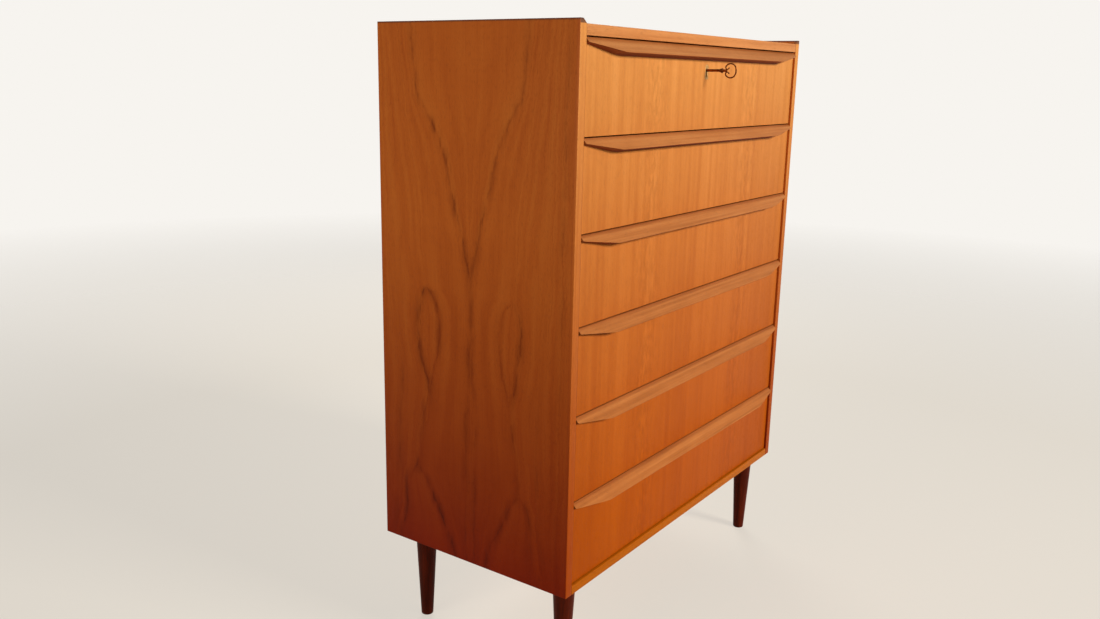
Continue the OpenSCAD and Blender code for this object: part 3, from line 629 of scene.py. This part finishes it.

# Painted shade darkens the underside, which faces down, and a band along the gap above each pull:
# how far a spot is below the gap is counted from the first one, and starts anew at each drawer.
facing = one_of(tree, add(tree, "NewGeometry").outputs["Normal"], "Z")
underside_shaded = mix(tree, between(tree, facing, -0.15, -0.5), no_tint, underside_shade_tint)
# These place the band of painted shade below the gap above each pull.
gap, gap_shade_full, gap_shade_end, gap_shade_share = 0.004, 0.005, 0.009, 0.6
first_top, second_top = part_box("drawer_1_pull")[1][2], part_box("drawer_2_pull")[1][2]
below = reckon(tree, "SUBTRACT", first_top + gap, one_of(tree, upright, "Z"))
below = reckon(tree, "MODULO", below, first_top - second_top)
gap_shaded = mix(tree, between(tree, below, gap_shade_full, gap_shade_end, gap_shade_share, 0.0), no_tint, gap_shade_tint)
colour = tinted(tree, height_shaded.outputs["Color"], tinted(tree, underside_shaded, gap_shaded))
connect(tree, shader, colour, wood["Roughness"], wood["Height"])
print("made", teak_pulls.name)

# %% Teak for the lippings
teak_lippings, tree, shader = new_wood("teak_lippings", 0.08)
upright = turned(tree, "Z")
upwards, off_middle = one_of(tree, upright, "Z"), reckon(tree, "ABSOLUTE", one_of(tree, upright, "X"))
rail_tones = ((192, 122, 68), (208, 137, 80), (218, 148, 90))
# The low tints of rails and stiles are painted shade towards the floor.
rail_floor_shade, stile_floor_shade = (0.74, 0.45, 0.03, 1), (0.54, 0.2, 0.0, 1)
strip_streak, strip_length = 0.005, 0.5
rail = wood_nodes(tree, turned(tree, "X"), rail_tones, strip_streak, strip_length)
stile = wood_nodes(tree, upright, front_tones, strip_streak, strip_length)
is_stile = between(tree, off_middle, half_inside, half_inside + 1e-4)
colour = mix(tree, is_stile, rail["Color"], stile["Color"])
low = mix(tree, is_stile, rail_floor_shade, stile_floor_shade)
height_shaded = use(tree, shade_by_height, {"Color": colour, "Place": upright, "Low": low, "Bend": front_bend})

# Where a strip stands above the top it is as dark as the rim.
lip_start, lip_full, lip_share = top_level - 0.0005, top_level + 0.001, 0.85
is_lip = between(tree, upwards, lip_start, lip_full)
lipped = mix(tree, reckon(tree, "MULTIPLY", is_lip, lip_share), height_shaded.outputs["Color"], rim_tone)
print("rails and stiles toned; the strips turn dark above", round(lip_start, 4))

# %% Outer faces, dark inner line and rim of the lippings
# Seen from the side, a lipping has the tone of the board that it edges, with the same painted shade
# towards the floor.
edging = wood_nodes(tree, upright, side_tones, strip_streak, strip_length)
edging_height_shaded = use(tree, shade_by_height, {"Color": edging["Color"], "Place": upright, "Low": side_floor_shade,
                                "Reach": side_reach})
sideways = one_of(tree, add(tree, "NewGeometry").outputs["Normal"], "X")
outward = between(tree, reckon(tree, "ABSOLUTE", sideways), 0.5, 0.9)
colour = mix(tree, outward, lipped, edging_height_shaded.outputs["Color"])

# The strips are darker in a thin line along the inner edge of the stiles.
inner_line_start, inner_line_end, inner_line_share = half_inside + 0.0002, half_inside + 0.0016, 0.9
inner_line_tint = (0.4, 0.25, 0.12, 1)
inner_edge = between(tree, off_middle, inner_line_start, inner_line_end, inner_line_share, 0.0)
inner_lined = mix(tree, reckon(tree, "MULTIPLY", inner_edge, is_stile), no_tint, inner_line_tint)
colour = darken_rim(tree, tinted(tree, colour, inner_lined), upwards)
height = reckon(tree, "ADD", reckon(tree, "MULTIPLY", stile["Height"], is_stile),
                reckon(tree, "MULTIPLY", rail["Height"], reckon(tree, "SUBTRACT", 1.0, is_stile)))
connect(tree, shader, colour, stile["Roughness"], height)
print("made", teak_lippings.name)

# %% [markdown]
# ## The plainer woods
# The top, the legs, the drawer boxes and the back need only grain and tone. One function makes them
# all, from the axis of the grain, three tones, the width and length of the streaks, and the gloss.

# %% Teak for the flat boards, dark legs, beech and plywood
def plain_wood(name, axis, tones, width, length, gloss, relief=close_relief, shift=(0, 0, 0), **choice):
    """A finish that is only grain and tone, with the grain along one axis."""
    finish, tree, shader = new_wood(name, gloss)
    wood = wood_nodes(tree, turned(tree, axis, shift), tones, width, length, **choice)
    connect(tree, shader, wood["Color"], wood["Roughness"], wood["Height"], relief)
    print("made", name)
    return finish


leg_tones = ((54, 13, 3), (84, 24, 6), (110, 35, 10))
beech_tones = ((202, 150, 102), (220, 172, 122), (232, 188, 140))
ply_tones = ((190, 136, 84), (212, 160, 104), (226, 180, 126))
teak_top = plain_wood("teak_top", "X", front_tones, 0.016, 1.2, 0.12, open_relief,
                      shift=(0.3, 0.1, 0), wander=0.02)
dark_legs = plain_wood("dark_legs", "Z", leg_tones, 0.006, 0.3, 0.08, satin=0.36)
beech = plain_wood("beech", "Y", beech_tones, 0.008, 0.35, 0.15, satin=0.5)
beech_across = plain_wood("beech_across", "X", beech_tones, 0.008, 0.35, 0.15, satin=0.5)
plywood = plain_wood("plywood", "X", ply_tones, 0.02, 0.8, 0.15, wander=0.03, satin=0.55)

# %% [markdown]
# ## Metals
# Brass, steel and bronze differ in tone, in roughness and in how much bare metal the tarnish leaves.

# %% Brass, steel and bronze
scratch_size, smoother, rougher = (0.0004, 0.0004, 0.006), 0.08, 0.12


def metal(name, dull, bright, roughness, patch, bare=1.0):
    """A metal with tarnish in patches and fine scratches. A film of tarnish leaves less of it bare."""
    finish, tree, shader = new_finish(name, Metallic=bare)
    place = add(tree, "TexCoord").outputs["Object"]
    patches = noise(tree, stretched(tree, place, (patch,) * 3), detail=4.0)
    scratches = noise(tree, stretched(tree, place, scratch_size), detail=2.0)
    tree.links.new(mix(tree, between(tree, patches, 0.35, 0.65), paint(*dull), paint(*bright)),
                   shader.inputs["Base Color"])
    tree.links.new(between(tree, scratches, 0.2, 0.8, roughness - smoother, roughness + rougher),
                   shader.inputs["Roughness"])
    print("made", name)
    return finish


aged_brass = metal("aged_brass", (190, 141, 75), (230, 177, 105), 0.36, 0.006, bare=0.45)
plain_steel = metal("plain_steel", (128, 126, 122), (182, 180, 176), 0.35, 0.005)
dark_bronze = metal("dark_bronze", (76, 38, 18), (152, 82, 38), 0.30, 0.004)

# %% [markdown]
# ## The finish of each piece
# The frame says which material slot each piece belongs to, and a table turns slots into finishes. A few
# boards differ from their slot, because their grain runs another way.

# %% Give every construction piece its finish
by_slot = {"teak_veneer": teak_fronts, "teak_side": teak_sides, "teak_solid": teak_pulls,
           "dark_wood": dark_legs, "beech": beech, "plywood": plywood, "steel": plain_steel,
           "brass": aged_brass, "bronze": dark_bronze}
slot_of = {row["node"]: row["material_slot"] for row in frame["record"]["subparts"]}
body_of = {node: body for body, members in frame["record"]["behaviour"]["bodies"].items()
           for node in members}
for node, slot in slot_of.items():
    nodes[node].material_slots[0].material = by_slot[slot]
nodes["front_lippings"].material_slots[0].material = teak_lippings
for board in ("top_panel", "bottom_panel"):
    nodes[board].material_slots[0].material = teak_top
for board in [name for name in slot_of if name.endswith("_back")] + ["carcass_dowels"]:
    nodes[board].material_slots[0].material = beech_across
print("finishes on", len(nodes), "pieces")

# %% [markdown]
# ## Rounded edges
# No edge of a real board is sharp: it is broken with sandpaper and rubbed by years of use, and that
# fine round is what catches the light. A construction piece is never changed itself. It is copied, the
# copy is welded into one clean surface, its long outer edges are rounded with the bevel operator, and
# the copy then stands for the piece. Edges at which two pieces were sanded flush are left as they are.
# The pulls and the legs need no copy: their noses and feet are round by their own shape, and the edges
# of the scooped tapers stay crisp, as the cutter leaves them.

# %% Welding and rounding
same_spot = 1e-6


def edit_all():
    """Goes into edit mode with everything selected."""
    bpy.ops.object.mode_set(mode="EDIT")
    bpy.ops.mesh.select_all(action="SELECT")


def welded_copy(node, name):
    """A copy of a construction piece as one clean surface, ready to be shaped."""
    select_only(nodes[node])
    bpy.ops.object.duplicate()
    piece = bpy.context.object
    piece.name, piece.parent = name, None
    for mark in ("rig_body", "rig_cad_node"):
        del piece[mark]
    bpy.ops.mesh.customdata_custom_splitnormals_clear()
    edit_all()
    bpy.ops.mesh.remove_doubles(threshold=same_spot)
    bpy.ops.mesh.dissolve_limited(angle_limit=radians(0.3))
    bpy.ops.object.mode_set(mode="OBJECT")
    return piece


def round_edges(piece, radius, where, longer, sharper=30, segments=2):
    """Rounds the outer edges that are sharp, long and in the right place, and marks them for wear and a
    painted highlight.
    """
    piece.data.materials.append(piece.data.materials[0])
    bpy.ops.object.mode_set(mode="EDIT")
    bpy.ops.mesh.select_mode(type="EDGE")
    bpy.ops.mesh.select_all(action="DESELECT")
    shape = bmesh.from_edit_mesh(piece.data)
    chosen = 0
    for edge in shape.edges:
        middle = (edge.verts[0].co + edge.verts[1].co) / 2
        if (edge.is_manifold and edge.is_convex and edge.calc_face_angle() > radians(sharper)
                and edge.calc_length() > longer and where(middle)):
            edge.select_set(True)
            chosen += 1
    bmesh.update_edit_mesh(piece.data)
    bpy.ops.mesh.bevel(offset=radius, segments=segments, affect="EDGES", clamp_overlap=False,
                       material=1)
    bpy.ops.object.mode_set(mode="OBJECT")
    worn_and_highlit = piece.data.attributes.new("worn_and_highlit", "FLOAT", "FACE")
    worn_and_highlit.data.foreach_set("value", [float(face.material_index) for face in piece.data.polygons])
    for face in piece.data.polygons:
        face.material_index = 0
    piece.data.materials.pop()
    bpy.ops.object.shade_smooth_by_angle(angle=radians(35))
    return chosen


def stand_for(piece, node):
    """The piece takes the place of a construction piece: its motion and its showing."""
    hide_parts(node)
    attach(piece, body_of[node])


def soften(node, radius, where, longer):
    """A construction piece with its edges rounded."""
    piece = welded_copy(node, node + "_rounded")
    count = round_edges(piece, radius, where, longer)
    stand_for(piece, node)
    print(piece.name, "has", count, "rounded edges and", len(piece.data.polygons), "faces")


# %% Rounded boards of the carcass
# Edges nearer than this to a joint that was sanded flush stay sharp.
joint_room = 0.001
lipping_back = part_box("front_lippings")[1][1]
for board in ("left_side", "right_side", "top_panel"):
    soften(board, 0.0007, lambda middle: middle.y > lipping_back + joint_room, longer=0.03)
soften("front_lippings", 0.0006, lambda middle: middle.y < lipping_back - joint_room, longer=0.002)

# %% Rounded drawer fronts
for drawer in [body for body in frame["bodies"] if body.startswith("drawer_")]:
    front_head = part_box(drawer + "_front")[1][2]
    soften(drawer + "_front", 0.0005, lambda middle: middle.z < front_head - joint_room, longer=0.02)

# %% Rounded escutcheon
plate_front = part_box("keyhole_liner")[0][1]
soften("keyhole_liner", 0.0004, lambda middle: middle.y < plate_front + 1e-4, longer=0.0002)

# %% [markdown]
# ## The key
# The real key is cast in bronze: a shank with a turned collar, and a bow of round wire whose ends curl
# into two scrolls. It could be swept along a curve, but a caster starts from a ring of wax, and so does
# this: rings are extruded along the shank, and the bow is spun from one ring. The half bow is copied
# and mirrored, and a voxel remesh then melts all into one skin, with the soft joints of a casting.

# %% Measures of the key
key_low, key_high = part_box("key")
axis_height = (key_low[2] + key_high[2]) / 2
key_tip, key_end = key_high[1], key_low[1]
bow_length, bow_height, wire_half, shank_half = 0.023, key_high[2] - key_low[2], 0.0012, 0.0023
bow_middle = key_end + bow_length / 2
bow_rise = (bow_height - bow_length) / 2
bow_radius = bow_length / 2 - wire_half
leave_angle, scroll_radius, scroll_turn = radians(145), 0.0032, radians(190)
print("key from", round(key_tip, 4), "to", round(key_end, 4), "on a height of", round(axis_height, 4))


# %% Rings that become a shape
def first_ring(name, radius, place, turn=(0, 0, 0), count=24):
    """A filled circle at a place, in edit mode, from which the rest is extruded."""
    select_only()
    bpy.ops.mesh.primitive_circle_add(vertices=count, radius=radius, location=place, rotation=turn,
                                      fill_type="NGON")
    bpy.ops.object.transform_apply(location=True, rotation=True, scale=True)
    bpy.context.object.name = name
    edit_all()
    return bpy.context.object


def extrude_along(rings, start, radius, height):
    """Extrudes the ring along Y through (place, radius) pairs."""
    here = start
    for there, wide in rings:
        bpy.ops.mesh.extrude_region_move(TRANSFORM_OT_translate={"value": (0, there - here, 0)})
        share = wide / radius
        bpy.ops.transform.resize(value=(share, 1, share), center_override=(0, there, height))
        here, radius = there, wide


def close_up(piece):
    """Leaves edit mode with one clean closed skin that faces outwards."""
    bpy.ops.mesh.select_all(action="SELECT")
    bpy.ops.mesh.remove_doubles(threshold=same_spot)
    bpy.ops.mesh.normals_make_consistent(inside=False)
    bpy.ops.object.mode_set(mode="OBJECT")
    print(piece.name, "is closed, with", len(piece.data.polygons), "faces")


def ridge(place, half, radius, first, step):
    """A half-round ridge on the shank, as (place, radius) pairs, at a distance from the bow."""
    turns = [radians(degrees) for degrees in range(first, 181 - first, step)]
    return [(bow_middle + bow_radius + place - half * cos(turn), radius + half * sin(turn))
            for turn in turns]


print("rings ready")

# %% Shank and collar
# A ring is a place along the shank and a radius. The list runs from behind the collar to the thin neck
# that meets the scrolls.
bead = ridge(0.0052, 0.0016, 0.0026, 10, 20)
fillet = ridge(0.0084, 0.0008, 0.0024, 15, 30)
neck_tip = bow_middle + (bow_radius - scroll_radius) * -cos(leave_angle) - 0.0002
rings = ([(fillet[-1][0] + 0.0006, shank_half)] + fillet[::-1] + bead[::-1]
         + [(bead[0][0] - 0.0008, 0.0024), (neck_tip + 0.0024, 0.0021), (neck_tip + 0.0008, 0.0017),
            (neck_tip, 0.0008)])
shank = first_ring("key_shank", shank_half, (0, key_tip, axis_height), (pi / 2, 0, 0), count=32)
extrude_along(rings, key_tip, shank_half, axis_height)
close_up(shank)
print(shank.name, "has", len(rings), "rings")

# %% Half of the bow
half_bow = first_ring("key_half_bow", wire_half, (0, key_end + wire_half, axis_height))
bpy.ops.mesh.extrude_region_move(TRANSFORM_OT_translate={"value": (0, 0, bow_rise)})
round_middle = Vector((0, bow_middle, axis_height + bow_rise))
bpy.ops.mesh.spin(steps=28, angle=leave_angle, center=round_middle, axis=(1, 0, 0))
away = Vector((0, -cos(leave_angle), sin(leave_angle)))
scroll_middle = round_middle + away * (bow_radius - scroll_radius)
ring_middle = round_middle + away * bow_radius
scroll_steps, thinner = 16, 0.975
scroll_step = scroll_turn / scroll_steps
for _ in range(scroll_steps):
    bpy.ops.mesh.spin(steps=1, angle=scroll_step, center=scroll_middle, axis=(1, 0, 0))
    arm = Matrix.Rotation(-scroll_step, 3, "X") @ (ring_middle - scroll_middle)
    ring_middle = scroll_middle + arm
    bpy.ops.transform.resize(value=(thinner,) * 3, center_override=ring_middle)
close_up(half_bow)
print("scroll ends at", tuple(round(c, 5) for c in ring_middle))

# %% The eye of the scroll, and the bit
select_only()
eye_half, bit_round = wire_half * 1.05, 0.0003
bpy.ops.mesh.primitive_uv_sphere_add(segments=20, ring_count=12, radius=eye_half, location=ring_middle)
scroll_eye = bpy.context.object
select_only()
bit_long, bit_thick, bit_reach = 0.0024, 0.002, 0.009
bit_middle = (0, key_tip - bit_long / 2, axis_height - bit_reach / 2)
bpy.ops.mesh.primitive_cube_add(size=1, location=bit_middle)
bit = bpy.context.object
bit.scale = (bit_thick, bit_long, bit_reach)
bpy.ops.object.transform_apply(location=True, rotation=True, scale=True)
edit_all()
bpy.ops.mesh.bevel(offset=bit_round, segments=2, affect="EDGES")
bpy.ops.object.mode_set(mode="OBJECT")
print("bit reaches", bit_reach)

# %% The other half of the bow
select_only(scroll_eye, half_bow)
bpy.ops.object.join()
bpy.ops.object.duplicate()
other_half = bpy.context.object
edit_all()
bpy.ops.transform.resize(value=(1, 1, -1), center_override=(0, bow_middle, axis_height))
close_up(other_half)

# %% One skin for the whole key
voxel = 0.0002
select_only(other_half, half_bow, bit, shank)
bpy.ops.object.join()
key = bpy.context.object
key.name = "cast_key"
key.data.remesh_voxel_size = voxel
bpy.ops.object.voxel_remesh()
melt = key.modifiers.new("melt", "SMOOTH")
melt.factor, melt.iterations = 0.5, 4
bpy.ops.object.modifier_apply(modifier="melt")
bpy.ops.object.shade_smooth()
key.data.materials.clear()
key.data.materials.append(dark_bronze)
stand_for(key, "key")
print(key.name, "has", len(key.data.polygons), "faces and a size of", tuple(key.dimensions))
